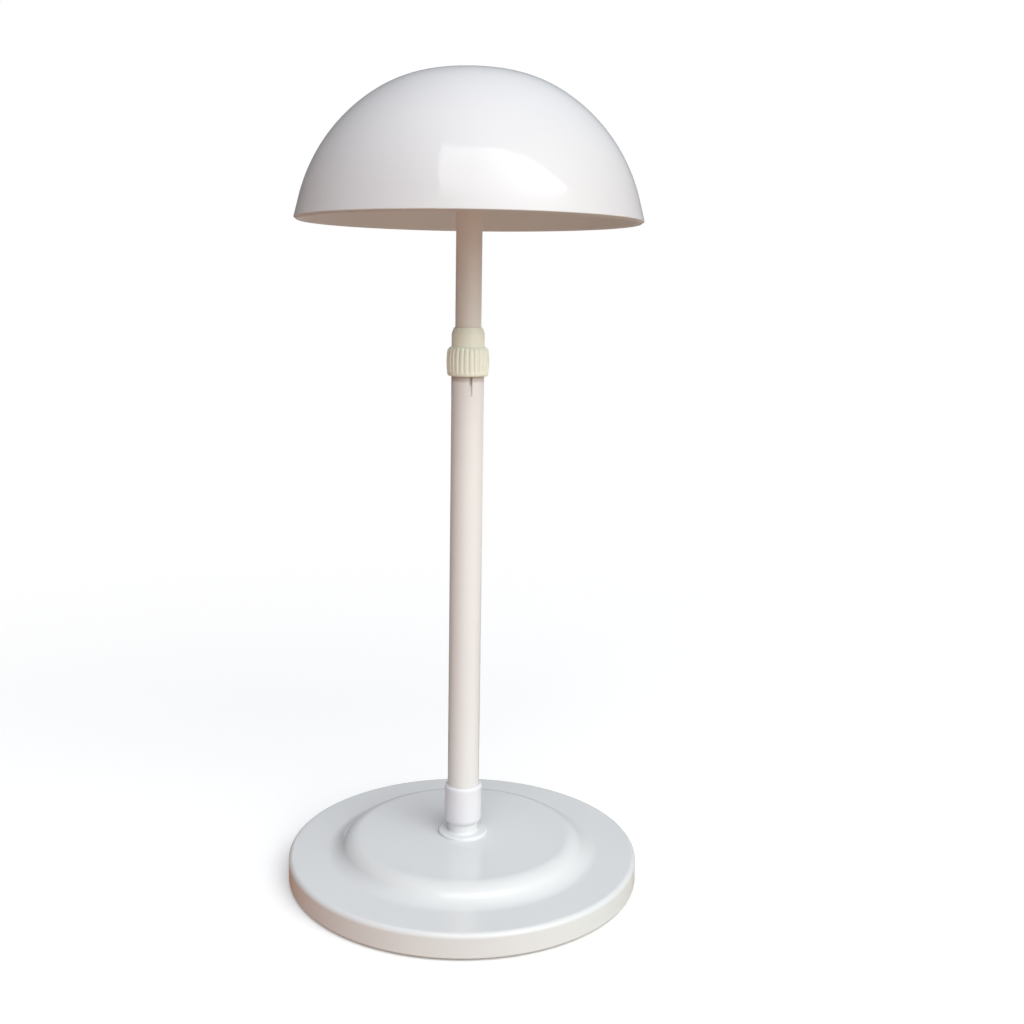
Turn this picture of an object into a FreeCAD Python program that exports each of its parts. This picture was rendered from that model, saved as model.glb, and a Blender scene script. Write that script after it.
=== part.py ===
import FreeCAD, Part
import math
import os

from FreeCAD import Vector

# Wig stand: a weighted round base, a telescoping pole with a twist-lock nut and an open dome.
# Millimetres. +Z is up, the pole is the Z axis, and Z = 0 is the surface that the stand rests on.
# The front, where one slit of the collet shows, is -Y.

# Overall sizes
base_diameter = 160.0
dome_diameter = 150.0

# Base shell: flat annulus, ogee step, raised middle
foot_gap = 1.2
side_height = 10.6
step_height = 7.1
shell_wall = 2.4
rim_round = 2.1
skirt_edge = 0.5
step_foot_share = 0.78
step_shoulder_share = 0.594
boss_diameter = 7.0
boss_setback = 3.6
rib_thickness = 1.6
rib_count = 8

# Ballast ring inside the base
ballast_gap = 1.0
ballast_play = 0.3
ballast_edge = 0.5
nut_room = 15.0

# Bottom cover, its screws and the foot pads
cover_inset = 0.2
cover_thickness = 2.0
cover_clearance = 0.3
cover_edge = 0.4
collar_height = 3.0
collar_wall = 1.2
collar_clearance = 0.3
screw_diameter = 2.9
screw_head_diameter = 5.6
screw_head_height = 1.0
screw_head_sink = 0.1
screw_hole_clearance = 0.25
screw_thread_clearance = 0.05
screw_tip_gap = 0.4
screw_count = 4
pad_diameter = 16.0
pad_setback = 5.6
pad_recess = 0.8
pad_clearance = 0.1
pad_edge = 0.5
pad_count = 4

# Pole: lower tube with its collet end
pole_diameter = 14.4
pole_wall = 1.2
pole_length = 206.0
slit_width = 1.4
slit_length = 18.5
slit_count = 4
slit_angle = 10.5
tip_taper_length = 3.4
tip_wall = 0.7
lip_length = 4.1

# Stem: flanged tube through the base's middle, clamped from inside
stem_wall = 1.0
flange_width = 4.4
flange_height = 1.3
flange_round = 0.8
neck_flare = 0.6
neck_showing = 4.4
stem_engagement = 8.4
stem_hole_clearance = 0.15
stem_edge = 0.25
washer_width = 5.9
washer_thickness = 1.2
stem_nut_wall = 4.0
stem_nut_height = 4.0
stem_nut_chamfer = 0.5
stem_thread_clearance = 0.05
shank_proud = 1.2

# Coupling between stem and pole
coupling_wall = 1.3
coupling_length = 17.7
coupling_chamfer = 1.2
coupling_edge = 0.3
coupling_rib = 1.5
socket_clearance = 0.05

# Mast: upper tube, which slides in the pole
telescope_gap = 0.3
mast_wall = 1.0
mast_length = 241.6
mast_showing = 105.3
mast_edge = 0.2
mast_clearance = 0.05

# Tail bush at the mast's lower end
bush_clearance = 0.1
bush_guide_length = 7.0
bush_gap = 0.2
bush_spigot_length = 10.0
bush_spigot_wall = 1.2
bush_chamfer = 0.5
bush_slot_width = 1.2
bush_slot_length = 7.0

# Lock nut and the split grip ring that it squeezes
slit_showing = 8.4
nut_height = 21.1
nut_ring_height = 12.6
nut_ring_wall = 2.1
nut_collar_wall = 0.7
nut_top_wall = 0.3
nut_chamfer_height = 2.5
nut_lip_height = 4.3
nut_lip_taper = 0.6
nut_bore_gap = 0.2
nut_lead = 0.6
thread_clearance = 0.1
barrel_bulge = 0.4
ring_shoulder = 1.2
ring_foot_round = 1.0
groove_count = 26
groove_radius = 0.7
groove_angle = 1.9
groove_depth = 0.45
groove_floor = 1.5
grip_gap = 0.3
grip_play = 0.2
grip_clearance = 0.05
grip_chamfer = 0.4
grip_split_width = 1.2

# Dome: three tangent arcs and a straight skirt, as shares of the dome's radius and as slopes
crown_share = 1.547
shoulder_share = 0.779
side_share = 0.989
crown_slope = 9.3
shoulder_slope = 31.8
skirt_lean = 14.5
dome_wall = 2.2
lip_edge = 0.8
hub_depth = 1.0
hub_wall = 3.2
spigot_length = 20.0
spigot_web = 1.6
spigot_clearance = 0.05
spigot_chamfer = 0.8

# One overrun for every cut
overrun = 1.0

# Radii and heights that follow from the sizes above
full_turn = 360.0
base_radius = base_diameter / 2
skirt_inner_radius = base_radius - shell_wall
annulus_height = foot_gap + side_height
plateau_height = annulus_height + step_height
ceiling_height = annulus_height - shell_wall
plateau_ceiling = plateau_height - shell_wall
cover_bottom = foot_gap + cover_inset
cover_top = cover_bottom + cover_thickness
boss_radius = boss_diameter / 2
screw_circle = skirt_inner_radius - boss_setback - boss_radius
pad_radius = pad_diameter / 2
pad_circle = skirt_inner_radius - pad_setback - pad_radius
pad_top = cover_bottom + pad_recess

pole_radius = pole_diameter / 2
pole_bore = pole_radius - pole_wall
mast_radius = pole_bore - telescope_gap
mast_bore = mast_radius - mast_wall
mast_guide_bore = mast_radius + mast_clearance

neck_radius = pole_bore + stem_wall
flange_radius = neck_radius + flange_width
flange_top = plateau_height + flange_height
washer_radius = neck_radius + stem_thread_clearance + washer_width
washer_bottom = plateau_ceiling - washer_thickness
stem_nut_bottom = washer_bottom - stem_nut_height
stem_bottom = stem_nut_bottom - shank_proud
coupling_bottom = flange_top + neck_showing
coupling_top = coupling_bottom + coupling_length
stem_top = coupling_bottom + stem_engagement
ballast_radius = screw_circle - boss_radius - ballast_gap
ballast_bore = washer_radius + nut_room

pole_bottom = stem_top + coupling_rib
pole_top = pole_bottom + pole_length
slit_bottom = pole_top - slit_length
taper_bottom = pole_top - tip_taper_length
lip_bottom = pole_top - lip_length
tip_radius = mast_guide_bore + tip_wall

nut_bottom = slit_bottom + slit_showing
nut_top = nut_bottom + nut_height
ring_top = nut_bottom + nut_ring_height
nut_thread_bore = pole_radius + thread_clearance
nut_grip_bore = tip_radius + thread_clearance
nut_top_bore = mast_radius + nut_bore_gap
nut_collar_radius = nut_grip_bore + nut_collar_wall
nut_ring_radius = nut_thread_bore + nut_ring_wall
nut_lip_bottom = nut_top - nut_lip_height
grip_radius = nut_grip_bore - grip_clearance
grip_bottom = pole_top + grip_gap
grip_top = nut_lip_bottom - grip_play

dome_radius = dome_diameter / 2
hub_bottom = nut_top + mast_showing
crown_ceiling = hub_bottom + hub_depth
dome_top = crown_ceiling + dome_wall
mast_bottom = crown_ceiling - mast_length
bush_top = mast_bottom - bush_gap
bush_bottom = bush_top - bush_guide_length


def outline(start, *steps):
    """Closed face in the XZ plane. A step is a point (radius, height) that a line runs to, or
    a pair of points, which an arc passes and ends at."""
    edges = []
    here = Vector(start[0], 0, start[1])
    for step in steps:
        if isinstance(step[0], tuple):
            via, end = [Vector(radius, 0, height) for radius, height in step]
            edges.append(Part.Arc(here, via, end).toShape())
        else:
            end = Vector(step[0], 0, step[1])
            edges.append(Part.makeLine(here, end))
        here = end
    edges.append(Part.makeLine(here, Vector(start[0], 0, start[1])))
    return Part.Face(Part.Wire(edges))


def turned(start, *steps):
    """Solid of revolution about the Z axis from such an outline."""
    return outline(start, *steps).revolve(Vector(0, 0, 0), Vector(0, 0, 1), full_turn)


def on_circle(centre, radius, angle):
    """Point (radius, height) on a circle, with the angle in degrees from the radial direction."""
    turn = math.radians(angle)
    return (centre[0] + radius * math.cos(turn), centre[1] + radius * math.sin(turn))


def tube(inner_radius, outer_radius, low, high, edge):
    """Tube along Z, its outer edges broken by a small chamfer."""
    return turned(
        (inner_radius, low),
        (outer_radius - edge, low),
        (outer_radius, low + edge),
        (outer_radius, high - edge),
        (outer_radius - edge, high),
        (inner_radius, high))


def bar(low_corner, high_corner):
    """Block between two opposite corners."""
    size = high_corner - low_corner
    return Part.makeBox(size.x, size.y, size.z, low_corner)


def placed(shape, angle):
    """Copy of a shape, turned about the Z axis."""
    copy = shape.copy()
    copy.rotate(Vector(0, 0, 0), Vector(0, 0, 1), angle)
    return copy


def ring_of(shape, count, first_angle):
    """Copies of a shape at even spacing round the Z axis."""
    return [placed(shape, first_angle + full_turn * number / count) for number in range(count)]


def merged(first, others):
    """One solid, with the seams between coplanar faces removed."""
    return first.fuse(others).removeSplitter()


def tapped(body, holes):
    """Body less the holes."""
    return body.cut(holes)


# Base

def step_arcs(radius_change):
    """The ogee step as two arcs, from its shoulder outwards; radius_change moves it inwards by
    that much, square to its surface."""
    shoulder = base_radius * step_shoulder_share
    foot = base_radius * step_foot_share
    run = foot - shoulder
    arc_radius = (run ** 2 + step_height ** 2) / (4 * step_height)
    swing = math.degrees(2 * math.atan(step_height / run))
    upper_centre = (shoulder, plateau_height - arc_radius)
    lower_centre = (foot, annulus_height + arc_radius)
    upper_radius = arc_radius - radius_change
    lower_radius = arc_radius + radius_change
    upright = 90
    upper = [on_circle(upper_centre, upper_radius, upright - swing * share) for share in (0, 0.5, 1)]
    lower = [on_circle(lower_centre, lower_radius, -upright - swing * share) for share in (1, 0.5, 0)]
    return upper, lower


def make_base_shell():
    """Moulded shell: skirt, annulus, ogee step and raised middle, with ribs and screw bosses."""
    upper, lower = step_arcs(0)
    inner_upper, inner_lower = step_arcs(shell_wall)
    hole_radius = neck_radius + stem_hole_clearance
    rim_centre = (base_radius - rim_round, annulus_height - rim_round)
    shell = turned(
        (hole_radius, plateau_height),
        upper[0],
        (upper[1], upper[2]),
        (lower[1], lower[2]),
        (base_radius - rim_round, annulus_height),
        (on_circle(rim_centre, rim_round, 45), (base_radius, annulus_height - rim_round)),
        (base_radius, foot_gap + skirt_edge),
        (base_radius - skirt_edge, foot_gap),
        (skirt_inner_radius, foot_gap),
        (skirt_inner_radius, ceiling_height),
        inner_lower[2],
        (inner_lower[1], inner_lower[0]),
        (inner_upper[1], inner_upper[0]),
        (hole_radius, plateau_ceiling))
    boss = Part.makeCylinder(boss_radius, ceiling_height + shell_wall / 2 - cover_top,
                             Vector(screw_circle, 0, cover_top))
    rib = bar(Vector(ballast_radius + ballast_gap / 2, -rib_thickness / 2, cover_top),
              Vector(skirt_inner_radius + shell_wall / 2, rib_thickness / 2,
                     ceiling_height + shell_wall / 2))
    screw_step = full_turn / screw_count
    rib_step = full_turn / rib_count
    bosses = ring_of(boss, screw_count, screw_step / 2)
    ribs = ring_of(rib, rib_count, rib_step / 2)
    pilot = Part.makeCylinder(screw_diameter / 2 + screw_thread_clearance,
                              ceiling_height - cover_top + overrun,
                              Vector(screw_circle, 0, cover_top - overrun))
    return tapped(merged(shell, bosses + ribs), ring_of(pilot, screw_count, screw_step / 2))


def make_ballast_ring():
    """Steel ring that fills the cavity between the cover and the annulus."""
    return tube(ballast_bore, ballast_radius, cover_top, ceiling_height - ballast_play, ballast_edge)


def make_bottom_cover():
    """Plate inside the skirt, with pad recesses, sunk screw holes and a collar for the ballast."""
    plate = tube(0, skirt_inner_radius - cover_clearance, cover_bottom, cover_top, cover_edge)
    collar_radius = ballast_bore - collar_clearance
    collar = turned(
        (collar_radius - collar_wall, cover_top - cover_thickness / 2),
        (collar_radius, cover_top - cover_thickness / 2),
        (collar_radius, cover_top + collar_height),
        (collar_radius - collar_wall, cover_top + collar_height))
    recess = Part.makeCylinder(pad_radius + pad_clearance, pad_recess + overrun,
                               Vector(pad_circle, 0, cover_bottom - overrun))
    sink = Part.makeCylinder(screw_head_diameter / 2 + screw_hole_clearance,
                             screw_head_height + screw_head_sink + overrun,
                             Vector(screw_circle, 0, cover_bottom - overrun))
    hole = Part.makeCylinder(screw_diameter / 2 + screw_hole_clearance,
                             cover_thickness + 2 * overrun,
                             Vector(screw_circle, 0, cover_bottom - overrun))
    screw_angle = full_turn / screw_count / 2
    cuts = ring_of(recess, pad_count, 0)
    cuts += ring_of(sink, screw_count, screw_angle)
    cuts += ring_of(hole, screw_count, screw_angle)
    return tapped(merged(plate, [collar]), cuts)


def make_cover_screws():
    """Screws with a flat head, sunk in the cover, and a shank up into the base's bosses."""
    head_top = cover_bottom + screw_head_sink + screw_head_height
    shank_radius = screw_diameter / 2
    tip = ceiling_height - screw_tip_gap
    screw = turned(
        (0, head_top - screw_head_height),
        (screw_head_diameter / 2, head_top - screw_head_height),
        (screw_head_diameter / 2, head_top),
        (shank_radius, head_top),
        (shank_radius, tip),
        (0, tip))
    screw.translate(Vector(screw_circle, 0, 0))
    return Part.makeCompound(ring_of(screw, screw_count, full_turn / screw_count / 2))


def make_foot_pads():
    """Soft discs in the cover's recesses, the only part that touches the surface."""
    pad = turned(
        (0, 0),
        (pad_radius - pad_edge, 0),
        (pad_radius, pad_edge),
        (pad_radius, pad_top),
        (0, pad_top))
    pad.translate(Vector(pad_circle, 0, 0))
    return Part.makeCompound(ring_of(pad, pad_count, 0))


# Stem and coupling

def make_stem():
    """Hollow stem: shank through the base, rounded flange on the raised middle, neck above."""
    flange_centre = (flange_radius - flange_round, flange_top - flange_round)
    return turned(
        (pole_bore, stem_bottom),
        (neck_radius - stem_edge, stem_bottom),
        (neck_radius, stem_bottom + stem_edge),
        (neck_radius, plateau_height),
        (flange_radius, plateau_height),
        (flange_radius, flange_top - flange_round),
        (on_circle(flange_centre, flange_round, 45), (flange_radius - flange_round, flange_top)),
        (neck_radius + neck_flare, flange_top),
        (neck_radius, flange_top + neck_flare),
        (neck_radius, stem_top - stem_edge),
        (neck_radius - stem_edge, stem_top),
        (pole_bore, stem_top))


def make_stem_washer():
    """Washer under the raised middle of the base."""
    return tube(neck_radius + stem_thread_clearance, washer_radius,
                washer_bottom, plateau_ceiling, stem_edge)


def make_stem_nut():
    """Hexagon nut on the shank, with its corners chamfered."""
    half_flats = neck_radius + stem_nut_wall
    corner_radius = half_flats / math.cos(math.radians(30))
    sides = 6
    corners = [placed(Part.Vertex(corner_radius, 0, stem_nut_bottom), full_turn * side / sides).Point
               for side in range(sides)]
    prism = Part.Face(Part.makePolygon(corners + corners[:1])).extrude(Vector(0, 0, stem_nut_height))
    envelope = tube(neck_radius + stem_thread_clearance, corner_radius,
                    stem_nut_bottom, washer_bottom, stem_nut_chamfer)
    return prism.common(envelope)


def make_pole_coupling():
    """Sleeve with a tapered top: stem from below, pole from above, and a rib between them."""
    outer = pole_radius + coupling_wall
    stem_socket = neck_radius + socket_clearance
    pole_socket = pole_radius + socket_clearance
    return turned(
        (stem_socket, coupling_bottom),
        (outer - coupling_edge, coupling_bottom),
        (outer, coupling_bottom + coupling_edge),
        (outer, coupling_top - coupling_chamfer),
        (outer - coupling_chamfer, coupling_top),
        (pole_socket, coupling_top),
        (pole_socket, pole_bottom),
        (pole_bore, pole_bottom),
        (pole_bore, stem_top),
        (stem_socket, stem_top))


# Pole and twist lock

def make_lower_tube():
    """Pole whose upper end is a collet: slit fingers with a tapered tip and an inner lip."""
    body = turned(
        (pole_bore, pole_bottom),
        (pole_radius, pole_bottom),
        (pole_radius, taper_bottom),
        (tip_radius, pole_top),
        (mast_guide_bore, pole_top),
        (mast_guide_bore, lip_bottom),
        (pole_bore, lip_bottom))
    reach = pole_radius + overrun
    slit_end = slit_bottom + slit_width / 2
    slit = bar(Vector(0, -slit_width / 2, slit_end),
               Vector(reach, slit_width / 2, pole_top + overrun))
    end = Part.makeCylinder(slit_width / 2, reach, Vector(0, 0, slit_end), Vector(1, 0, 0))
    front = -90
    return tapped(body, ring_of(slit.fuse(end), slit_count, front + slit_angle))


def make_lock_nut():
    """Ribbed nut: thread bore, cone that closes the fingers, grip ring's seat and top lip."""
    side_radius = nut_ring_radius - barrel_bulge
    foot_centre = (side_radius - ring_foot_round, nut_bottom + ring_foot_round)
    side_middle = nut_bottom + (nut_ring_height + ring_foot_round - ring_shoulder) / 2
    body = turned(
        (nut_thread_bore + nut_lead, nut_bottom),
        (side_radius - ring_foot_round, nut_bottom),
        (on_circle(foot_centre, ring_foot_round, -45), (side_radius, nut_bottom + ring_foot_round)),
        ((nut_ring_radius, side_middle), (side_radius, ring_top - ring_shoulder)),
        (side_radius - ring_shoulder, ring_top),
        (nut_collar_radius, ring_top),
        (nut_collar_radius, nut_top - nut_chamfer_height),
        (nut_top_bore + nut_top_wall, nut_top),
        (nut_top_bore, nut_top),
        (nut_top_bore, nut_lip_bottom + nut_lip_taper),
        (nut_grip_bore, nut_lip_bottom),
        (nut_grip_bore, pole_top),
        (nut_thread_bore, taper_bottom),
        (nut_thread_bore, nut_bottom + nut_lead))
    groove_start = nut_bottom + groove_floor
    groove = Part.makeCylinder(groove_radius, ring_top + overrun - groove_start,
                               Vector(nut_ring_radius - groove_depth + groove_radius, 0, groove_start))
    front = -90
    return tapped(body, ring_of(groove, groove_count, front + groove_angle))


def make_grip_ring():
    """Split ring between the finger tips and the nut's lip, which closes on the mast."""
    ring = turned(
        (mast_guide_bore, grip_bottom),
        (grip_radius - grip_chamfer, grip_bottom),
        (grip_radius, grip_bottom + grip_chamfer),
        (grip_radius, grip_top - grip_chamfer),
        (grip_radius - grip_chamfer, grip_top),
        (mast_guide_bore, grip_top))
    split = bar(Vector(0, -grip_split_width / 2, grip_bottom - overrun),
                Vector(grip_radius + overrun, grip_split_width / 2, grip_top + overrun))
    return tapped(ring, [split])


# Mast

def make_tail_bush():
    """Guide that runs in the pole's bore, with a slotted spigot in the mast's lower end."""
    guide_radius = pole_bore - bush_clearance
    spigot_radius = mast_bore - mast_clearance
    bush_bore = spigot_radius - bush_spigot_wall
    spigot_top = bush_top + bush_gap + bush_spigot_length
    body = turned(
        (bush_bore, bush_bottom),
        (guide_radius - bush_chamfer, bush_bottom),
        (guide_radius, bush_bottom + bush_chamfer),
        (guide_radius, bush_top),
        (spigot_radius, bush_top),
        (spigot_radius, spigot_top - bush_chamfer),
        (spigot_radius - bush_chamfer, spigot_top),
        (bush_bore, spigot_top))
    slots = [bar(Vector(-half_x, -half_y, spigot_top - bush_slot_length),
                 Vector(half_x, half_y, spigot_top + overrun))
             for half_x, half_y in ((pole_radius, bush_slot_width / 2),
                                    (bush_slot_width / 2, pole_radius))]
    return tapped(body, slots)


def make_upper_tube():
    """Mast tube, from the tail bush up to the underside of the dome's crown."""
    return tube(mast_bore, mast_radius, mast_bottom, crown_ceiling, mast_edge)


def dome_steps(inset):
    """Crown, shoulder and side arcs of the dome, each as start, middle and end, from the top
    down, and the end of the skirt. inset moves them all inwards, square to the surface."""
    side_slope = 90 - skirt_lean
    slopes = (0, crown_slope, shoulder_slope, side_slope)
    radii = [dome_radius * share for share in (crown_share, shoulder_share, side_share)]
    centre = (0, dome_top - radii[0])
    arcs = []
    for number, radius in enumerate(radii):
        start, end = slopes[number:number + 2]
        arcs.append([on_circle(centre, radius - inset, 90 - slope)
                     for slope in (start, (start + end) / 2, end)])
        if number + 1 < len(radii):
            centre = on_circle(centre, radius - radii[number + 1], 90 - end)
    side_end = on_circle(centre, radii[-1], 90 - side_slope)
    skirt_length = (dome_radius - side_end[0]) / math.sin(math.radians(skirt_lean))
    skirt_end = on_circle(arcs[-1][-1], skirt_length, -side_slope)
    return arcs, skirt_end


def make_dome():
    """Thin shell with a chamfered lip, a hub round the mast and a cross-ribbed spigot in it."""
    outer, outer_end = dome_steps(0)
    inner, inner_end = dome_steps(dome_wall)
    lip_reach = lip_edge * math.sqrt(2)
    lip_outer = on_circle(outer_end, lip_reach, skirt_lean - 135)
    lip_inner = on_circle(inner_end, lip_reach, skirt_lean - 45)
    shell = turned(
        outer[0][0],
        (outer[0][1], outer[0][2]),
        (outer[1][1], outer[1][2]),
        (outer[2][1], outer[2][2]),
        outer_end,
        lip_outer,
        lip_inner,
        inner_end,
        inner[2][2],
        (inner[2][1], inner[2][0]),
        (inner[1][1], inner[1][0]),
        (inner[0][1], inner[0][0]))
    root = crown_ceiling + dome_wall / 2
    hub = turned(
        (mast_guide_bore, hub_bottom),
        (mast_guide_bore + hub_wall, hub_bottom),
        (mast_guide_bore + hub_wall + hub_depth, root),
        (0, root),
        (0, crown_ceiling),
        (mast_guide_bore, crown_ceiling))
    spigot_radius = mast_bore - spigot_clearance
    spigot_bottom = crown_ceiling - spigot_length
    core = turned(
        (0, spigot_bottom),
        (spigot_radius - spigot_chamfer, spigot_bottom),
        (spigot_radius, spigot_bottom + spigot_chamfer),
        (spigot_radius, root),
        (0, root))
    webs = [bar(Vector(-half_x, -half_y, spigot_bottom), Vector(half_x, half_y, root))
            for half_x, half_y in ((mast_radius, spigot_web / 2), (spigot_web / 2, mast_radius))]
    spigot = webs[0].fuse(webs[1]).common(core)
    return merged(shell, [hub, spigot])


makers = {
    "base_shell": make_base_shell,
    "ballast_ring": make_ballast_ring,
    "bottom_cover": make_bottom_cover,
    "cover_screws": make_cover_screws,
    "foot_pads": make_foot_pads,
    "stem": make_stem,
    "stem_washer": make_stem_washer,
    "stem_nut": make_stem_nut,
    "pole_coupling": make_pole_coupling,
    "lower_tube": make_lower_tube,
    "lock_nut": make_lock_nut,
    "grip_ring": make_grip_ring,
    "tail_bush": make_tail_bush,
    "upper_tube": make_upper_tube,
    "dome": make_dome,
}

os.makedirs("parts", exist_ok=True)
for name, make in makers.items():
    solid = make()
    solid.exportStep("parts/" + name + ".step")
    print(name, "solids", len(solid.Solids), "valid", solid.isValid(),
          "volume", round(solid.Volume), "height", round(solid.BoundBox.ZMin, 2),
          round(solid.BoundBox.ZMax, 2))
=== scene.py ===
import math

import bmesh
import bpy
from mathutils import Matrix, Vector


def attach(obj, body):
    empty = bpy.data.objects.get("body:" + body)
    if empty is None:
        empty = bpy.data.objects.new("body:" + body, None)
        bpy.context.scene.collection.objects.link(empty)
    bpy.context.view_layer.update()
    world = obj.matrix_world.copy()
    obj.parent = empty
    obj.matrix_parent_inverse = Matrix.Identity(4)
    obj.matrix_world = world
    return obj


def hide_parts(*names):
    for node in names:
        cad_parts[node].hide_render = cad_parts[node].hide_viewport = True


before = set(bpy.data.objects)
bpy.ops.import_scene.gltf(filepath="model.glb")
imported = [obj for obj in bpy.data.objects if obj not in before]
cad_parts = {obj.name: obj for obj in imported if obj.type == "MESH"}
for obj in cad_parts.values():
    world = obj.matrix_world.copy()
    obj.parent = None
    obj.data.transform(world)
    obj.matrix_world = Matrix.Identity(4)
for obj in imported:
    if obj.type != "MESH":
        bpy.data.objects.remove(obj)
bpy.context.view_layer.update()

# Wig stand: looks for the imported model. Pieces are turned about the Z axis from profiles in
# millimetres, as (radius, height) points, and their meshes are written in metres.

millimetre = 0.001
full_turn = 360.0
segments = 192
pole_segments = 128
support_reach = 0.25
sharp_angle = 32.0

# Base, in millimetres
base_radius = 80.0
foot_gap = 1.2
annulus_height = 11.8
plateau_height = 18.9
shell_wall = 2.4
rim_round = 2.1
skirt_edge = 0.5
step_height = plateau_height - annulus_height
step_foot_radius = base_radius * 0.78
step_shoulder_radius = base_radius * 0.594
stem_hole_radius = 7.15

# Stem and coupling
neck_radius = 7.0
pole_bore = 6.0
stem_bottom = 10.1
flange_radius = 11.4
flange_top = 20.2
flange_round = 0.8
neck_fillet = 0.8
stem_top = 33.0
socket_gap = 0.05
coupling_radius = 8.5
coupling_bottom = 24.6
coupling_top = 42.3
coupling_round = 1.2
coupling_tuck = (1.3, 2.6)
tuck_steps = 12

# Pole with its slits
pole_radius = 7.2
pole_bottom = 34.5
pole_top = 240.5
end_support = 0.3
slit_width = 1.4
slit_bottom = 222.0
slit_run_out = 5.0
slit_end_depth = 0.45
slit_end_rise = 0.2
slit_count = 4
slit_angle = -79.5
slit_columns = 8
finger_columns = 28
band_height = 2.0
band_steps = 8
taper_bottom = 237.1
tip_radius = 6.45
lip_bottom = 236.4
lip_taper = 0.3

# Mast tube
mast_guide_bore = 5.75
mast_radius = 5.7
mast_bore = 4.7
mast_bottom = 116.2
mast_top = 357.8
mast_edge = 0.2

# Lock nut: the mouth's points are (radius, depth below the top)
nut_bottom = 230.4
ring_top = 243.0
nut_top = 251.5
nut_ring_radius = 9.4
nut_side_radius = 9.0
nut_side_steps = 16
nut_foot_round = 1.0
ring_shoulder = 1.2
shoulder_rounds = (0.5, 0.4)
shoulder_drop = 0.1
nut_collar_radius = 7.25
collar_fillet = 0.25
collar_round = 0.6
collar_round_height = 248.7
collar_taper_angle = 26
nut_mouth = ((6.3, 0.05), (6.15, 0.0), (5.95, 0.1), (5.9, 0.4))
nut_top_bore = 5.9
nut_lip_bottom = 247.2
nut_lip_taper = 0.6
nut_grip_bore = 6.55
nut_thread_bore = 7.3
nut_lead = 0.6
groove_count = 26
groove_angle = 1.9
groove_depth = 0.45
groove_half_width = 0.62
groove_roundness = 0.7
rib_crown = 0.05
rib_steps = 18
ribbed_radius = nut_collar_radius + 0.5
groove_foot = 1.5
groove_foot_fade = 0.6
groove_shoulder_fade = 0.7

# Dome: three tangent arcs by their share of its radius, and the slopes at which they meet
dome_radius = 75.0
dome_top = 360.0
dome_wall = 2.2
dome_ceiling = dome_top - dome_wall
arc_shares = (1.547, 0.779, 0.989)
arc_slopes = (0.0, 9.3, 31.8, 75.5)
arc_steps = (8, 14, 26)
lip_rounds = (0.35, 0.8)
lip_width = 3.0
hub_radius = 8.95
hub_bottom = 356.8
hub_round = 0.4
hub_fillet = 0.5
hub_fillet_reach = 1.6
hub_clearing = 1.5


# Profiles

def arc(centre, radius, start, end, steps):
    """Points on a circle from one angle to another, in degrees from the radial direction."""
    points = []
    for number in range(steps + 1):
        turn = math.radians(start + (end - start) * number / steps)
        points.append((centre[0] + radius * math.cos(turn), centre[1] + radius * math.sin(turn)))
    return points


def with_support(points):
    """Profile with extra points near both ends of each long straight, which keep its shading flat."""
    result = []
    for here, after in zip(points, points[1:] + points[:1]):
        result.append(here)
        length = math.dist(here, after)
        if length > 5 * support_reach:
            for share in (support_reach / length, 1 - support_reach / length):
                result.append(tuple(a + (b - a) * share for a, b in zip(here, after)))
    return result


def tidy(points):
    """Profile without repeated points."""
    nearest = 1e-5
    result = []
    for point in points:
        if not result or math.dist(result[-1], point) > nearest:
            result.append(point)
    if math.dist(result[0], result[-1]) < nearest:
        result.pop()
    return result


# Meshes

def new_object(name, vertices, faces):
    """Object from vertices in millimetres, smooth apart from its sharp edges."""
    mesh = bpy.data.meshes.new(name)
    mesh.from_pydata([tuple(value * millimetre for value in vertex) for vertex in vertices], [], faces)
    mesh.validate()
    outward = bmesh.new()
    outward.from_mesh(mesh)
    bmesh.ops.recalc_face_normals(outward, faces=outward.faces)
    outward.to_mesh(mesh)
    outward.free()
    mesh.shade_smooth()
    mesh.set_sharp_from_angle(angle=math.radians(sharp_angle))
    made = bpy.data.objects.new(name, mesh)
    bpy.context.scene.collection.objects.link(made)
    return made


def lathe(name, profile, shape=None, count=segments):
    """Closed profile turned about the Z axis. shape(angle, radius, height) may move a point."""
    vertices = []
    rings = []
    for radius, height in with_support(tidy(profile)):
        if radius < 1e-6:
            rings.append([len(vertices)] * count)
            vertices.append((0.0, 0.0, height))
            continue
        ring = []
        for number in range(count):
            turn = math.radians(full_turn * number / count)
            reach, level = shape(turn, radius, height) if shape else (radius, height)
            ring.append(len(vertices))
            vertices.append((reach * math.cos(turn), reach * math.sin(turn), level))
        rings.append(ring)
    faces = []
    for low, high in zip(rings, rings[1:] + rings[:1]):
        for number in range(count):
            after = (number + 1) % count
            corners = [low[number], low[after], high[after], high[number]]
            face = list(dict.fromkeys(corners))
            if len(face) > 2:
                faces.append(face)
    return new_object(name, vertices, faces)


def refinish(piece, finish, chosen):
    """Another finish on the faces for which chosen(distance from the axis, normal) is true. The normal
    is (outwards, up)."""
    piece.data.materials.append(finish)
    for face in piece.data.polygons:
        across = Vector((face.center.x, face.center.y, 0.0))
        distance = across.length
        outwards = face.normal.dot(across) / max(distance, 1e-9)
        if chosen(distance / millimetre, (outwards, face.normal.z)):
            face.material_index = len(piece.data.materials) - 1


# Shader nodes

def material(name):
    """New material with its node tree, its shader and its object coordinates."""
    made = bpy.data.materials.new(name)
    made.use_nodes = True
    tree = made.node_tree
    shader = tree.nodes["Principled BSDF"]
    place = tree.nodes.new("ShaderNodeTexCoord")
    return made, tree, shader, place.outputs["Object"]


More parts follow.
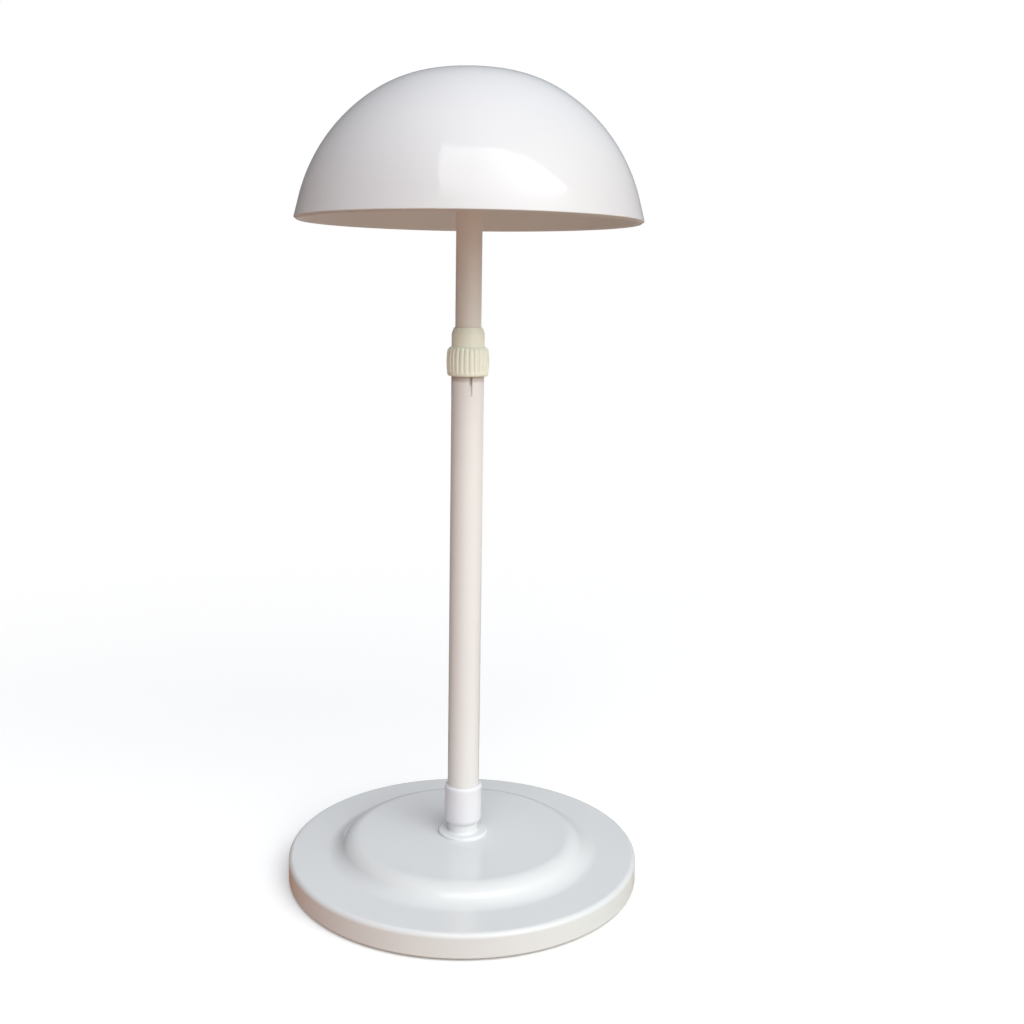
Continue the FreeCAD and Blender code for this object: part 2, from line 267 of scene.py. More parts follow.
def noise(tree, vector, scale, detail=4.0, stretch=(1, 1, 1), rough=0.5):
    """Noise value in object space, with features about 1 / scale metres wide."""
    if stretch != (1, 1, 1):
        mapping = tree.nodes.new("ShaderNodeMapping")
        mapping.inputs["Scale"].default_value = stretch
        tree.links.new(vector, mapping.inputs["Vector"])
        vector = mapping.outputs["Vector"]
    node = tree.nodes.new("ShaderNodeTexNoise")
    node.inputs["Scale"].default_value = scale
    node.inputs["Detail"].default_value = detail
    node.inputs["Roughness"].default_value = rough
    tree.links.new(vector, node.inputs["Vector"])
    return node.outputs["Fac"]


def ranged(tree, value, low, high, from_low=0.3, from_high=0.7):
    """Value mapped to another range, whose ends it keeps to."""
    node = tree.nodes.new("ShaderNodeMapRange")
    node.inputs["From Min"].default_value = from_low
    node.inputs["From Max"].default_value = from_high
    node.inputs["To Min"].default_value = low
    node.inputs["To Max"].default_value = high
    tree.links.new(value, node.inputs["Value"])
    return node.outputs["Result"]


def mixed(tree, factor, first, second):
    """Colour between two colours, each a tuple or an output."""
    node = tree.nodes.new("ShaderNodeMix")
    node.data_type = "RGBA"
    tree.links.new(factor, node.inputs["Factor"])
    for socket, colour in (("A", first), ("B", second)):
        target = [s for s in node.inputs if s.name == socket and s.type == "RGBA"][0]
        if isinstance(colour, tuple):
            target.default_value = (*colour, 1.0)
        else:
            tree.links.new(colour, target)
    return [s for s in node.outputs if s.type == "RGBA"][0]


def added(tree, amount, colour, more):
    """Colour with so much of another colour added."""
    node = tree.nodes.new("ShaderNodeVectorMath")
    node.operation = "MULTIPLY_ADD"
    tree.links.new(amount, node.inputs[0])
    node.inputs[1].default_value = more
    tree.links.new(colour, node.inputs[2])
    return node.outputs["Vector"]


def summed(tree, first, second, operation="ADD"):
    """Two values added, multiplied or otherwise joined."""
    node = tree.nodes.new("ShaderNodeMath")
    node.operation = operation
    for number, value in enumerate((first, second)):
        if isinstance(value, float):
            node.inputs[number].default_value = value
        else:
            tree.links.new(value, node.inputs[number])
    return node.outputs["Value"]


def bumped(tree, shader, height, distance):
    """Bump of that height in metres on the shader's normal."""
    node = tree.nodes.new("ShaderNodeBump")
    node.inputs["Strength"].default_value = 1.0
    node.inputs["Distance"].default_value = distance
    tree.links.new(height, node.inputs["Height"])
    tree.links.new(node.outputs["Normal"], shader.inputs["Normal"])


def separated(tree, vector):
    """The three parts of a vector, by their names X, Y and Z."""
    node = tree.nodes.new("ShaderNodeSeparateXYZ")
    tree.links.new(vector, node.inputs["Vector"])
    return node.outputs


# Plastics and metals

plastic_ior = 1.5
skin_unit = 1e-5
cloud_scale = 22.0
cloud_share = 0.7
fleck_scale = 1400.0
fleck_share = 0.35
gloss_patch_scale = 55.0
metal_cloud_scale = 160.0
metal_gloss_scale = 420.0
metal_gloss_spread = (-0.08, 0.1)
metal_bump = 6e-6


def plastic(name, colour, second, roughness, gloss_spread, peel, lines=None, shadow_band=None):
    """Moulded or extruded plastic: clouded colour, uneven gloss and the fine waves of its skin.
    peel is (scale, height in metres); lines is (stretch, scale, height) of drawn lines;
    the last argument is a painted shadow band: (height where the painted shade begins, height where it is
    darkest, colour)."""
    made, tree, shader, place = material(name)
    cloud = ranged(tree, noise(tree, place, cloud_scale, 3.0), 0.0, 1.0)
    fleck = ranged(tree, noise(tree, place, fleck_scale, 2.0), 0.0, fleck_share, 0.35, 0.8)
    tint = summed(tree, summed(tree, cloud, cloud_share, "MULTIPLY"), fleck)
    clouded = mixed(tree, tint, colour, second)
    # Painted shadow: the colour darkens by height into a band that stands for shade cast by the nut.
    if shadow_band:
        begin, thickest, shadow_colour = shadow_band
        shadow_share = ranged(tree, separated(tree, place)["Z"], 0.0, 1.0, begin, thickest)
        clouded = mixed(tree, shadow_share, clouded, shadow_colour)
    tree.links.new(clouded, shader.inputs["Base Color"])
    patches = noise(tree, place, gloss_patch_scale, 5.0, rough=0.65)
    gloss = ranged(tree, patches, roughness - gloss_spread, roughness + gloss_spread)
    tree.links.new(gloss, shader.inputs["Roughness"])
    skin = summed(tree, noise(tree, place, peel[0], 2.0), peel[1] / skin_unit, "MULTIPLY")
    if lines:
        stretch, line_scale, line_height = lines
        drawn = noise(tree, place, line_scale, 3.0, stretch=stretch, rough=0.6)
        skin = summed(tree, skin, summed(tree, drawn, line_height / skin_unit, "MULTIPLY"))
    bumped(tree, shader, skin, skin_unit)
    shader.inputs["IOR"].default_value = plastic_ior
    return made


def metal(name, colour, second, roughness, line_scale):
    """Plated or cast metal with uneven gloss and fine lines."""
    made, tree, shader, place = material(name)
    shader.inputs["Metallic"].default_value = 1.0
    cloud = ranged(tree, noise(tree, place, metal_cloud_scale, 5.0, rough=0.6), 0.0, 1.0)
    tree.links.new(mixed(tree, cloud, colour, second), shader.inputs["Base Color"])
    low, high = (roughness + change for change in metal_gloss_spread)
    gloss = ranged(tree, noise(tree, place, metal_gloss_scale, 4.0), low, high)
    tree.links.new(gloss, shader.inputs["Roughness"])
    bumped(tree, shader, noise(tree, place, line_scale, 4.0, rough=0.6), metal_bump)
    return made


tube_skin = (900.0, 8e-7)
drawn_lines = ((1.0, 1.0, 0.012), 900.0, 1.2e-6)
# Painted shadow on the pole under the nut's foot: darkest from 1.8 mm below the foot upwards, fading out
# 2.7 mm below it.
nut_shadow_paint = ((nut_bottom - 2.7) * millimetre, (nut_bottom - 1.8) * millimetre, (0.53, 0.48, 0.46))

dome_finish = plastic("dome_plastic", (0.645, 0.644, 0.667), (0.625, 0.624, 0.645),
                      0.055, 0.012, (420.0, 6e-7))
# Satin plastic for the dome's inside, its colour set to the tint of the shaded interior: a painted shade
# tint.
inside_shade_tint_finish = plastic("dome_inside_shade_tint", (0.66, 0.675, 0.675), (0.635, 0.65, 0.65),
                        0.5, 0.06, (900.0, 2e-6))
# Painted shade: a darker copy of the dome plastic for the lip's downward face.
lip_shade_finish = plastic("dome_edge_shade", (0.52, 0.505, 0.5), (0.48, 0.465, 0.46),
                      0.55, 0.06, (1300.0, 4e-6))
# Painted shade: a darker copy of the tube plastic for the bore, the slits' walls and the tube's ends,
# where shade falls.
bore_shade_finish = plastic("tube_bore_shade", (0.4, 0.385, 0.375), (0.35, 0.335, 0.325),
                      0.6, 0.06, (1500.0, 4e-6))
base_finish = plastic("base_plastic", (0.704, 0.71, 0.717), (0.684, 0.691, 0.701),
                      0.095, 0.02, (380.0, 9e-7))
tube_finish = plastic("tube_plastic", (0.732, 0.714, 0.708), (0.712, 0.694, 0.688),
                      0.36, 0.05, tube_skin, lines=drawn_lines, shadow_band=nut_shadow_paint)
# Warmer than the pole's plastic: partly the mast's own tone, partly a painted warm shade tint that stands
# for the dome's shade on it.
mast_tone_and_shade_finish = plastic("mast_plastic_shade_tint", (0.724, 0.69, 0.662), (0.704, 0.67, 0.642),
                      0.36, 0.05, tube_skin, lines=drawn_lines)
sleeve_finish = plastic("coupling_plastic", (0.738, 0.735, 0.775), (0.718, 0.715, 0.752),
                        0.4, 0.04, (700.0, 8e-7))
stem_finish = plastic("stem_plastic", (0.735, 0.738, 0.75), (0.715, 0.718, 0.73),
                      0.2, 0.04, (600.0, 8e-7))
nut_finish = plastic("nut_plastic", (0.81, 0.825, 0.725), (0.78, 0.795, 0.695),
                     0.42, 0.05, (1300.0, 2.5e-6))
cover_finish = plastic("cover_plastic", (0.70, 0.70, 0.69), (0.66, 0.66, 0.65),
                       0.5, 0.06, (1500.0, 4e-6))
nylon_finish = plastic("natural_nylon", (0.62, 0.58, 0.48), (0.58, 0.54, 0.44),
                       0.42, 0.06, (1100.0, 3e-6))
pad_finish = plastic("pad_rubber", (0.48, 0.48, 0.465), (0.42, 0.42, 0.405),
                     0.72, 0.08, (2200.0, 1.2e-5))
steel_finish = metal("plated_steel", (0.62, 0.62, 0.60), (0.5, 0.5, 0.48), 0.32, 1500.0)
iron_finish = metal("ballast_iron", (0.2, 0.19, 0.18), (0.14, 0.13, 0.12), 0.6, 700.0)


# Dome

def dome_outline():
    """Outer and inner outline of the thin shell, down to its straight skirt, and the round lip that
    joins them."""
    radii = [dome_radius * share for share in arc_shares]
    centre = (0.0, dome_top - radii[0])
    outer = []
    inner = []
    for number, radius in enumerate(radii):
        start, end = arc_slopes[number:number + 2]
        steps = arc_steps[number]
        outer += arc(centre, radius, 90 - start, 90 - end, steps)
        inner += arc(centre, radius - dome_wall, 90 - start, 90 - end, steps)
        if number + 1 < len(radii):
            centre = arc(centre, radius - radii[number + 1], 90 - end, 90 - end, 1)[0]
    lean_degrees = 90.0 - arc_slopes[-1]
    lean = math.radians(lean_degrees)
    length = (dome_radius - outer[-1][0]) / math.sin(lean)
    run = (length * math.sin(lean), -length * math.cos(lean))
    outer_end = (outer[-1][0] + run[0], outer[-1][1] + run[1])
    inner_end = (inner[-1][0] + run[0], inner[-1][1] + run[1])
    lip = []
    for end, side, start, lip_round in ((outer_end, 180.0, 0.0, lip_rounds[0]),
                                        (inner_end, 0.0, -90.0, lip_rounds[1])):
        centre = arc(end, lip_round, side + lean_degrees, side + lean_degrees, 1)[0]
        lip += arc(centre, lip_round, start + lean_degrees, start + lean_degrees - 90.0, 6)
    return outer, lip, inner


outer, lip, inner = dome_outline()
dome_points = outer + lip
dome_points += [point for point in reversed(inner) if point[0] > hub_radius + hub_clearing]
dome_points += arc((hub_radius + hub_fillet_reach, hub_bottom + hub_fillet), hub_fillet, 90, 180, 4)
dome_points += arc((hub_radius - hub_round, hub_bottom + hub_round), hub_round, 0, -90, 4)
dome_points += [(mast_guide_bore, hub_bottom), (mast_guide_bore, dome_ceiling), (0.0, dome_ceiling)]
dome = lathe("dome_shell", dome_points)
dome.data.materials.append(dome_finish)
# Faces that don't face upwards, the dome's inside, take the satin copy with the painted shade tint.
refinish(dome, inside_shade_tint_finish, lambda distance, normal: normal[1] < 0.01)
# The lip's downward face near the rim takes the darker painted-shade copy.
refinish(dome, lip_shade_finish,
         lambda distance, normal: normal[1] < -0.7 and distance > dome_radius - lip_width)
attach(dome, "mast")
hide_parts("dome")


# Base shell

def ogee(inset):
    """The step as two tangent arcs from its shoulder outwards, moved inwards by inset."""
    run = step_foot_radius - step_shoulder_radius
    radius = (run ** 2 + step_height ** 2) / (4 * step_height)
    swing = math.degrees(2 * math.atan(step_height / run))
    steps = 14
    upper = arc((step_shoulder_radius, plateau_height - radius), radius - inset, 90, 90 - swing, steps)
    lower = arc((step_foot_radius, annulus_height + radius), radius + inset, -90 - swing, -90, steps)
    return upper + lower[1:]


rim = arc((base_radius - rim_round, annulus_height - rim_round), rim_round, 90, 0, 8)
foot = arc((base_radius - skirt_edge, foot_gap + skirt_edge), skirt_edge, 0, -90, 4)
skirt_inner_radius = base_radius - shell_wall
base_points = [(stem_hole_radius, plateau_height - shell_wall), (stem_hole_radius, plateau_height)]
base_points += ogee(0.0) + rim + foot
base_points += [(skirt_inner_radius, foot_gap), (skirt_inner_radius, annulus_height - shell_wall)]
base_points += list(reversed(ogee(shell_wall)))
base = lathe("base_casing", base_points)
base.data.materials.append(base_finish)
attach(base, "stand")
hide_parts("base_shell")


# Stem and coupling

stem_points = [(pole_bore, stem_bottom), (neck_radius, stem_bottom), (neck_radius, plateau_height),
               (flange_radius, plateau_height)]
stem_points += arc((flange_radius - flange_round, flange_top - flange_round), flange_round, 0, 90, 7)
stem_points += arc((neck_radius + neck_fillet, flange_top + neck_fillet), neck_fillet, 270, 180, 7)
stem_points += [(neck_radius, stem_top), (pole_bore, stem_top)]
stem = lathe("flanged_stem", stem_points, count=pole_segments)
stem.data.materials.append(stem_finish)
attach(stem, "stand")
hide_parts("stem")

stem_socket = neck_radius + socket_gap
pole_socket = pole_radius + socket_gap
sleeve_points = [(stem_socket, coupling_bottom)]
for step in range(tuck_steps + 1):
    turn = math.pi / 2 * step / tuck_steps
    sleeve_points.append((coupling_radius - coupling_tuck[0] * (1 - math.sin(turn)),
                          coupling_bottom + coupling_tuck[1] * (1 - math.cos(turn))))
sleeve_points += arc((coupling_radius - coupling_round, coupling_top - coupling_round),
                     coupling_round, 0, 90, 10)
sleeve_points += [(pole_socket, coupling_top), (pole_socket, pole_bottom), (pole_bore, pole_bottom),
                  (pole_bore, stem_top), (stem_socket, stem_top)]
sleeve = lathe("coupling_sleeve", sleeve_points, count=pole_segments)
sleeve.data.materials.append(sleeve_finish)
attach(sleeve, "stand")
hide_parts("pole_coupling")


# Pole with its four slits

def pole_mesh():
    """Tube from a grid of columns. The columns inside a slit stop at its round lower end, whose floor
    runs out from the bore, and the fingers between the slits go on to the tapered tip. A column is
    (middle of its slit, offset across it, None inside the slit or its place on the finger)."""
    half = slit_width / 2
    slit_end = slit_bottom + half
    band_bottom = slit_bottom - band_height
    columns = []
    for slit in range(slit_count):
        middle = math.radians(slit_angle + full_turn * slit / slit_count)
        after = math.radians(slit_angle + full_turn * (slit + 1) / slit_count)
        for number in range(slit_columns):
            columns.append((middle, -half + slit_width * number / slit_columns, None))
        for number in range(finger_columns):
            columns.append((middle, half, (after, number / finger_columns)))
    count = len(columns)
    vertices = []

    def spot(column, radius, height):
        middle, offset, finger = column
        turn = middle + math.asin(offset / radius)
        if finger:
            start = middle + math.asin(half / radius)
            end = finger[0] - math.asin(half / radius)
            turn = start + (end - start) * finger[1]
        return (radius * math.cos(turn), radius * math.sin(turn), height)

    def ring(radius, height):
        vertices.extend([spot(column, radius, height) for column in columns])
        return list(range(len(vertices) - count, len(vertices)))

    def dipped_ring(radius, share, rise=0.0):
        """Ring at a share of the way up to the slits' ends, which it follows across each slit."""
        for column in columns:
            top = slit_end
            if column[2] is None or column[2][1] == 0:
                top = slit_end - math.sqrt(max(half ** 2 - column[1] ** 2, 0.0)) + rise
            vertices.append(spot(column, radius, band_bottom + (top - band_bottom) * share))
        return list(range(len(vertices) - count, len(vertices)))

    def walls(lower, upper, fingers_only=False):
        result = []
        for number in range(count):
            after = (number + 1) % count
            if fingers_only and columns[number][2] is None:
                continue
            result.append([lower[number], lower[after], upper[after], upper[number]])
        return result

    shares = [step / band_steps for step in range(1, band_steps + 1)]
    outer_rings = [ring(pole_radius, pole_bottom), ring(pole_radius, pole_bottom + end_support),
                   ring(pole_radius, band_bottom)]
    outer_rings += [dipped_ring(pole_radius, share) for share in shares]
    inner_rings = [ring(pole_bore, pole_bottom), ring(pole_bore, pole_bottom + end_support),
                   ring(pole_bore, band_bottom)]
    inner_rings += [dipped_ring(pole_bore, share, slit_run_out) for share in shares]
    floor_ring = dipped_ring(pole_radius - slit_end_depth, 1.0, slit_end_rise)
    tip_outer = [outer_rings[-1], ring(pole_radius, taper_bottom), ring(tip_radius, pole_top)]
    tip_inner = [inner_rings[-1], ring(pole_bore, lip_bottom),
                 ring(mast_guide_bore, lip_bottom + lip_taper), ring(mast_guide_bore, pole_top)]

    faces = []
    for lower, upper in zip(outer_rings, outer_rings[1:]):
        faces += walls(lower, upper)
    for lower, upper in zip(inner_rings, inner_rings[1:]):
        faces += [face[::-1] for face in walls(lower, upper)]
    faces += [face[::-1] for face in walls(outer_rings[0], inner_rings[0])]
    for lower, upper in zip(tip_outer, tip_outer[1:]):
        faces += walls(lower, upper, True)
    for lower, upper in zip(tip_inner, tip_inner[1:]):
        faces += [face[::-1] for face in walls(lower, upper, True)]
    faces += walls(tip_outer[-1], tip_inner[-1], True)
    # floors of the slits
    for number in range(count):
        after = (number + 1) % count
        if columns[number][2] is None:
            for lower, upper in ((outer_rings[-1], floor_ring), (floor_ring, inner_rings[-1])):
                faces.append([lower[number], lower[after], upper[after], upper[number]])
    # side walls of the slits
    for number in range(count):
        inside = columns[number][2] is None
        before_inside = columns[number - 1][2] is None
        if inside != before_inside:
            side = [around[number] for around in tip_outer + tip_inner[::-1] + [floor_ring]]
            faces.append(side if inside else side[::-1])
    used = sorted({corner for face in faces for corner in face})
    index = {old: new for new, old in enumerate(used)}
    return [vertices[old] for old in used], [[index[corner] for corner in face] for face in faces]


pole = new_object("pole_tube", *pole_mesh())
pole.data.materials.append(tube_finish)
# Faces that don't face outwards take the darker painted-shade copy.
refinish(pole, bore_shade_finish, lambda distance, normal: normal[0] < 0.7)
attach(pole, "stand")
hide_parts("lower_tube")


# Mast tube

mast_points = [(mast_bore, mast_bottom), (mast_radius - mast_edge, mast_bottom),
               (mast_radius, mast_bottom + mast_edge), (mast_radius, mast_top - mast_edge),
               (mast_radius - mast_edge, mast_top), (mast_bore, mast_top)]
mast = lathe("mast_tube", mast_points, count=pole_segments)
mast.data.materials.append(mast_tone_and_shade_finish)
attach(mast, "mast")
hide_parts("upper_tube")


# Lock nut

def nut_profile():
    """Ribbed ring with a slight barrel, plain foot, collar and tapered top, round its bores."""
    start = nut_bottom + nut_foot_round
    end = ring_top - ring_shoulder
    upper, lower = shoulder_rounds
    points = [(nut_thread_bore + nut_lead, nut_bottom)]
    points += arc((nut_side_radius - nut_foot_round, start), nut_foot_round, -90, 0, 7)
    for number in range(1, nut_side_steps):
        share = number / nut_side_steps
        bulge = (nut_ring_radius - nut_side_radius) * math.sin(math.pi * share)
        points.append((nut_side_radius + bulge, start + (end - start) * share))
    points += arc((nut_side_radius - upper, end - shoulder_drop), upper, 0, 45, 4)
    points += arc((nut_side_radius - ring_shoulder, ring_top - lower), lower, 45, 90, 4)
    points += arc((nut_collar_radius + collar_fillet, ring_top + collar_fillet),
                  collar_fillet, 270, 180, 4)
    points += arc((nut_collar_radius - collar_round, collar_round_height),
                  collar_round, 0, collar_taper_angle, 4)
    points += [(radius, nut_top - depth) for radius, depth in nut_mouth]
    points += [(nut_top_bore, nut_lip_bottom + nut_lip_taper), (nut_grip_bore, nut_lip_bottom),
               (nut_grip_bore, pole_top), (nut_thread_bore, taper_bottom),
               (nut_thread_bore, nut_bottom + nut_lead)]
    return points


def ribs(turn, radius, height):
    """Grooves between rounded ribs, which fade into the plain foot and run out on the shoulder."""
    if radius < ribbed_radius or height > ring_top + 0.01:
        return radius, height
    spacing = full_turn / groove_count
    offset = (math.degrees(turn) + 90.0 - groove_angle) % spacing
    offset = min(offset, spacing - offset)
    reach = math.radians(offset) * nut_ring_radius / groove_half_width
    cut = groove_depth * max(1.0 - reach ** 2, 0.0) ** groove_roundness
    crown = rib_crown * max(1.0 - offset / (spacing / 2), 0.0)
    foot_share = (height - nut_bottom - groove_foot) / groove_foot_fade
    shoulder_share = (radius - nut_side_radius + ring_shoulder) / groove_shoulder_fade
    fade = min(max(foot_share, 0.0), 1.0) * min(max(shoulder_share, 0.0), 1.0)
    return radius - (cut + crown) * fade, height


nut = lathe("twist_nut", nut_profile(), shape=ribs, count=groove_count * rib_steps)
nut.data.materials.append(nut_finish)
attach(nut, "nut")
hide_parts("lock_nut")


# Pieces that show their solids as they are

finishes = {
    "grip_ring": nylon_finish,
    "tail_bush": nylon_finish,
    "stem_washer": steel_finish,
    "stem_nut": steel_finish,
    "cover_screws": steel_finish,
    "ballast_ring": iron_finish,
    "bottom_cover": cover_finish,
    "foot_pads": pad_finish,
}
for node, finish in finishes.items():
    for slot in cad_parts[node].material_slots:
        slot.material = finish


# Studio world

white = (1.0, 1.0, 1.0)
ambient = (0.125, 0.12, 0.11)

# Soft room light: azimuth right of the front, elevation, width as a power of the cosine, and colour
glows = ((20.0, 30.0, 8.0, (1.97, 2.04, 1.98)),
         (60.0, 25.0, 8.0, (1.44, 1.60, 1.47)),
         (0.0, 75.0, 6.0, (0.70, 0.63, 0.72)),
         (-80.0, 25.0, 6.0, (0.10, 0.14, 0.19)),
         (-25.0, 3.0, 8.0, (0.10, 0.14, 0.14)),
         (150.0, 30.0, 4.0, (0.25, 0.28, 0.33)))

# Light from behind, which lights the back and isn't mirrored
rear_glow = (180.0, 8.0, 6.0, (0.72, 0.73, 0.75))

# Round white patch low behind the object, which only gloss sees: direction, and the angles from it
# at which the patch begins and is full
rear_patch = (180.0, -9.0)
rear_patch_edges = (13.0, 9.0)


def light_path(tree):
    """1 for camera, glossy and transmission rays, which see the backdrop, and 0 for the others, with
    the node that tells them apart."""
    path = tree.nodes.new("ShaderNodeLightPath")
    seen = summed(tree, path.outputs["Is Camera Ray"], path.outputs["Is Glossy Ray"], "MAXIMUM")
    seen = summed(tree, seen, path.outputs["Is Transmission Ray"], "MAXIMUM")
    return seen, path


def toward(azimuth, lift):
    """Direction with its azimuth right of the front and its angle above the horizon, in degrees."""
    turn = math.radians(azimuth)
    rise = math.radians(lift)
    return Vector((math.sin(turn) * math.cos(rise), -math.cos(turn) * math.cos(rise), math.sin(rise)))


def along(tree, vector, direction):
    """Cosine of the angle between a vector and a fixed direction."""
    node = tree.nodes.new("ShaderNodeVectorMath")
    node.operation = "DOT_PRODUCT"
    tree.links.new(vector, node.inputs[0])
    node.inputs[1].default_value = direction
    return node.outputs["Value"]


def with_glow(tree, place, fill, glow):
    """Light with one soft glow added."""
    azimuth, lift, width, colour = glow
    facing = summed(tree, along(tree, place, toward(azimuth, lift)), 0.0, "MAXIMUM")
    return added(tree, summed(tree, facing, width, "POWER"), fill, colour)


world = bpy.data.worlds.new("studio")
bpy.context.scene.world = world
world.use_nodes = True
tree = world.node_tree
tree.nodes.clear()
place = tree.nodes.new("ShaderNodeTexCoord").outputs["Generated"]
fill = tree.nodes.new("ShaderNodeCombineXYZ").outputs["Vector"]
for socket, value in zip(fill.node.inputs, ambient):
    socket.default_value = value
for glow in glows:
    fill = with_glow(tree, place, fill, glow)
lit = with_glow(tree, place, fill, rear_glow)
patch_begin, patch_full = [math.cos(math.radians(edge)) for edge in rear_patch_edges]
patch = ranged(tree, along(tree, place, toward(*rear_patch)), 0.0, 1.0, patch_begin, patch_full)
seen, path = light_path(tree)
shown = mixed(tree, path.outputs["Is Camera Ray"], mixed(tree, patch, fill, white), white)
background = tree.nodes.new("ShaderNodeBackground")
tree.links.new(mixed(tree, seen, lit, shown), background.inputs["Color"])
output = tree.nodes.new("ShaderNodeOutputWorld")
tree.links.new(background.outputs["Background"], output.inputs["Surface"])


# Studio floor, with distances in metres from the middle of the stand

floor_half = 12.0
floor_colour = (0.9, 0.9, 0.9, 1.0)
floor_lift = 0.16
plain_white_reach = (0.12, 0.7)
mirrored_reach = (0.3, 0.9)
mirrored_left = (-0.5, -0.2)

# Colours of the light that the floor throws back on the object, and where each begins and is full
warm_left = (0.54, 0.26, 0.14)
warm_right = (0.57, 0.52, 0.45)
warm_right_reach = (-0.09, 0.09)
warm_back = (0.52, 0.46, 0.42)
warm_back_reach = (-0.02, 0.05)
warm_far = (0.63, 0.43, 0.33)
warm_far_reach = (0.1, 0.25)
dark_back = (0.12, 0.12, 0.125)
dark_back_reach = (0.06, 0.1)


def emission(tree, strength):
    """Plain white light of that strength."""
    node = tree.nodes.new("ShaderNodeEmission")
    node.inputs["Strength"].default_value = strength
    return node.outputs["Emission"]


def mixed_shaders(tree, factor, first, second):
    """Shader between two shaders."""
    node = tree.nodes.new("ShaderNodeMixShader")
    tree.links.new(factor, node.inputs["Fac"])
    tree.links.new(first, node.inputs[1])
    tree.links.new(second, node.inputs[2])
    return node.outputs["Shader"]


def floor_material():
    """White with the object's shadow where it is seen, plain white farther out, and warm colours for
    the light that it throws back. Gloss doesn't see the white near the object and on its left."""
    made = bpy.data.materials.new("studio_floor")
    made.use_nodes = True
    tree = made.node_tree
    tree.nodes.clear()
    place = tree.nodes.new("ShaderNodeTexCoord").outputs["Object"]
    length = tree.nodes.new("ShaderNodeVectorMath")
    length.operation = "LENGTH"
    tree.links.new(place, length.inputs[0])
    distance = length.outputs["Value"]
    axes = separated(tree, place)
    seen, path = light_path(tree)
    glossy = path.outputs["Is Glossy Ray"]

    aside = summed(tree, axes["X"], distance, "DIVIDE")
    dark = summed(tree, ranged(tree, distance, 1.0, 0.0, *mirrored_reach),
                  ranged(tree, aside, 1.0, 0.0, *mirrored_left), "MAXIMUM")
    seen = summed(tree, seen, summed(tree, glossy, dark, "MULTIPLY"), "SUBTRACT")

    shadowed = tree.nodes.new("ShaderNodeBsdfDiffuse")
    shadowed.inputs["Color"].default_value = floor_colour
    near = tree.nodes.new("ShaderNodeAddShader")
    tree.links.new(shadowed.outputs["BSDF"], near.inputs[0])
    tree.links.new(emission(tree, floor_lift), near.inputs[1])
    far = ranged(tree, distance, 0.0, 1.0, *plain_white_reach)
    shown = mixed_shaders(tree, far, near.outputs["Shader"], emission(tree, 1.0))

    warmth = mixed(tree, ranged(tree, axes["X"], 0.0, 1.0, *warm_right_reach), warm_left, warm_right)
    warmth = mixed(tree, ranged(tree, axes["Y"], 0.0, 1.0, *warm_back_reach), warmth, warm_back)
    warmth = mixed(tree, ranged(tree, distance, 0.0, 1.0, *warm_far_reach), warmth, warm_far)
    behind = summed(tree, glossy, ranged(tree, axes["Y"], 0.0, 1.0, *dark_back_reach), "MULTIPLY")
    warm = tree.nodes.new("ShaderNodeBsdfDiffuse")
    tree.links.new(mixed(tree, behind, warmth, dark_back), warm.inputs["Color"])

    output = tree.nodes.new("ShaderNodeOutputMaterial")
    tree.links.new(mixed_shaders(tree, seen, warm.outputs["BSDF"], shown), output.inputs["Surface"])
    return made


floor_mesh = bpy.data.meshes.new("studio_floor")
floor_mesh.from_pydata([(-floor_half, -floor_half, 0.0), (floor_half, -floor_half, 0.0),
                        (floor_half, floor_half, 0.0), (-floor_half, floor_half, 0.0)], [], [(0, 1, 2, 3)])
floor = bpy.data.objects.new("studio_floor", floor_mesh)
bpy.context.scene.collection.objects.link(floor)
floor_mesh.materials.append(floor_material())


# Window-shaped light cards, front right and above: azimuth right of the front, lower and upper
# elevation, and strength. One lights the surfaces, the other is the fainter one that they mirror.

card_edges = ((-21.0, 31.8, 58.4, 4.1), (-10.0, 32.1, 59.2, 4.1), (5.0, 32.1, 59.3, 4.2),
              (20.0, 31.7, 57.8, 5.2), (35.0, 30.6, 54.4, 6.2), (48.0, 29.3, 49.8, 6.5),
              (53.5, 28.7, 45.1, 6.7), (58.5, 28.1, 41.2, 6.8), (62.6, 27.6, 36.2, 6.8),
              (67.0, 27.1, 31.2, 6.8), (71.0, 26.6, 27.4, 6.8))
card_centre = Vector((0.0, -0.03, 0.33))
card_colour = (0.97, 1.0, 1.02, 1.0)
card_rows = 10
card_bow = (0.8, -13.5, 5.5)
bowed_columns = 2
card_distance = 2.0
mirrored_card_distance = 2.05
mirrored_card_share = 0.74


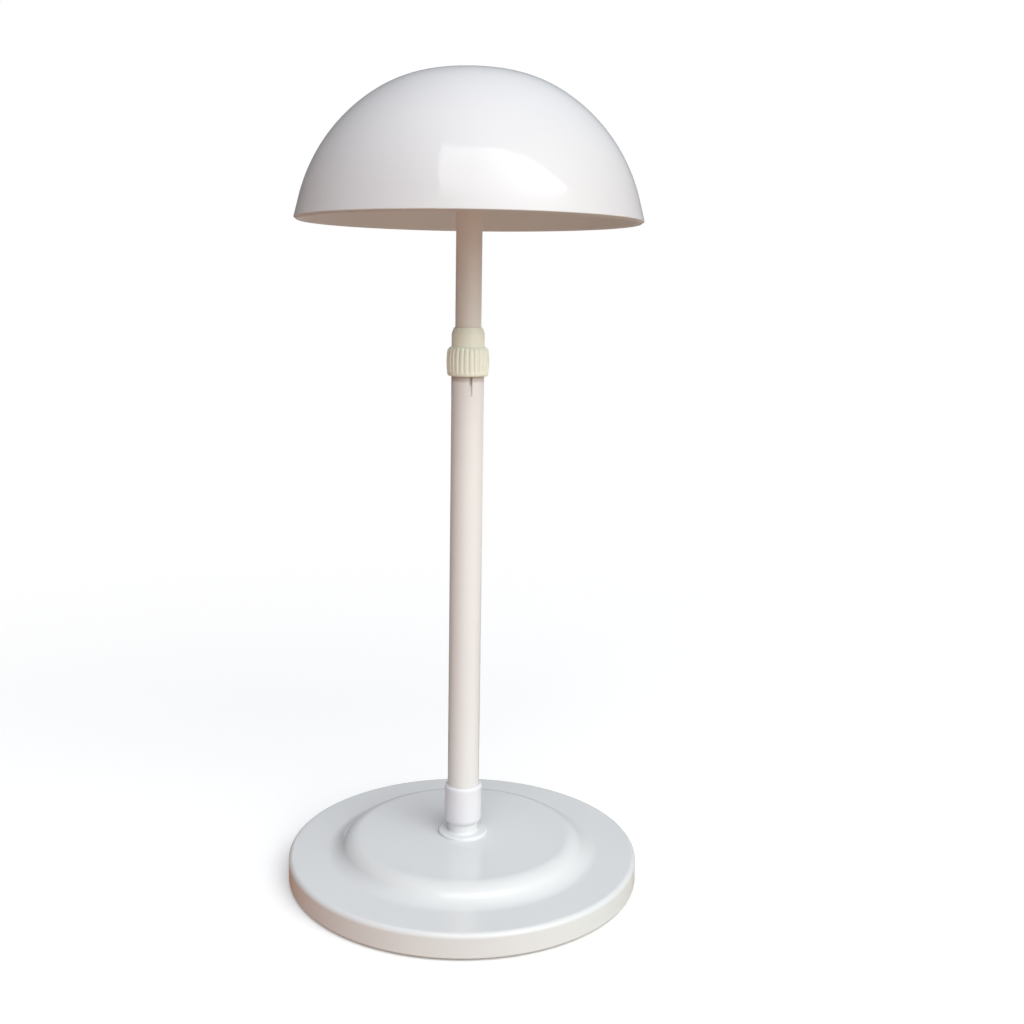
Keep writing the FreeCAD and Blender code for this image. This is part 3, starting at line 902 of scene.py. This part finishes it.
def light_card(name, distance, glow_share):
    """Card on a sphere about the object, whose strength changes along its azimuth. Its left edge
    leans with the height, as a parabola of the share of the way up."""
    vertices = []
    faces = []
    levels = []
    for column, (azimuth, low, high, strength) in enumerate(card_edges):
        for number in range(card_rows + 1):
            share = number / card_rows
            bow = card_bow[0] + card_bow[1] * share + card_bow[2] * share ** 2
            lean = bow * max(1.0 - column / bowed_columns, 0.0)
            vertices.append(card_centre + distance * toward(azimuth + lean, low + (high - low) * share))
            levels.append(strength * glow_share)
    for column in range(len(card_edges) - 1):
        for number in range(card_rows):
            first = column * (card_rows + 1) + number
            faces.append((first, first + 1, first + card_rows + 2, first + card_rows + 1))
    mesh = bpy.data.meshes.new(name)
    mesh.from_pydata(vertices, [], faces)
    mesh.attributes.new("strength", "FLOAT", "POINT").data.foreach_set("value", levels)
    made = bpy.data.materials.new(name)
    made.use_nodes = True
    tree = made.node_tree
    tree.nodes.clear()
    light = tree.nodes.new("ShaderNodeEmission")
    light.inputs["Color"].default_value = card_colour
    level = tree.nodes.new("ShaderNodeAttribute")
    level.attribute_name = "strength"
    tree.links.new(level.outputs["Fac"], light.inputs["Strength"])
    output = tree.nodes.new("ShaderNodeOutputMaterial")
    tree.links.new(light.outputs["Emission"], output.inputs["Surface"])
    mesh.materials.append(made)
    card = bpy.data.objects.new(name, mesh)
    bpy.context.scene.collection.objects.link(card)
    card.visible_camera = False
    return card


light_card("light_card", card_distance, 1.0).visible_glossy = False
mirrored_card = light_card("mirrored_card", mirrored_card_distance, mirrored_card_share)
mirrored_card.visible_diffuse = False
mirrored_card.visible_shadow = False


# Camera: its angles are in degrees, right of straight ahead, downwards and about its line of sight

camera_turn = 1.147
camera_dip = 8.515
camera_roll = 0.798
camera_data = bpy.data.cameras.new("camera")
camera_data.sensor_width = 36.0
camera_data.lens = 42.659
camera_data.shift_x = 0.0208
camera_data.shift_y = -0.0362
camera = bpy.data.objects.new("camera", camera_data)
camera.location = (0.0, -0.53411, 0.26648)
sight = toward(180 - camera_turn, -camera_dip)
camera.rotation_euler = (sight.to_track_quat("-Z", "Y").to_matrix()
                         @ Matrix.Rotation(math.radians(camera_roll), 3, "Z")).to_euler()
bpy.context.scene.collection.objects.link(camera)
bpy.context.scene.camera = camera
bpy.context.scene.view_settings.view_transform = "Standard"
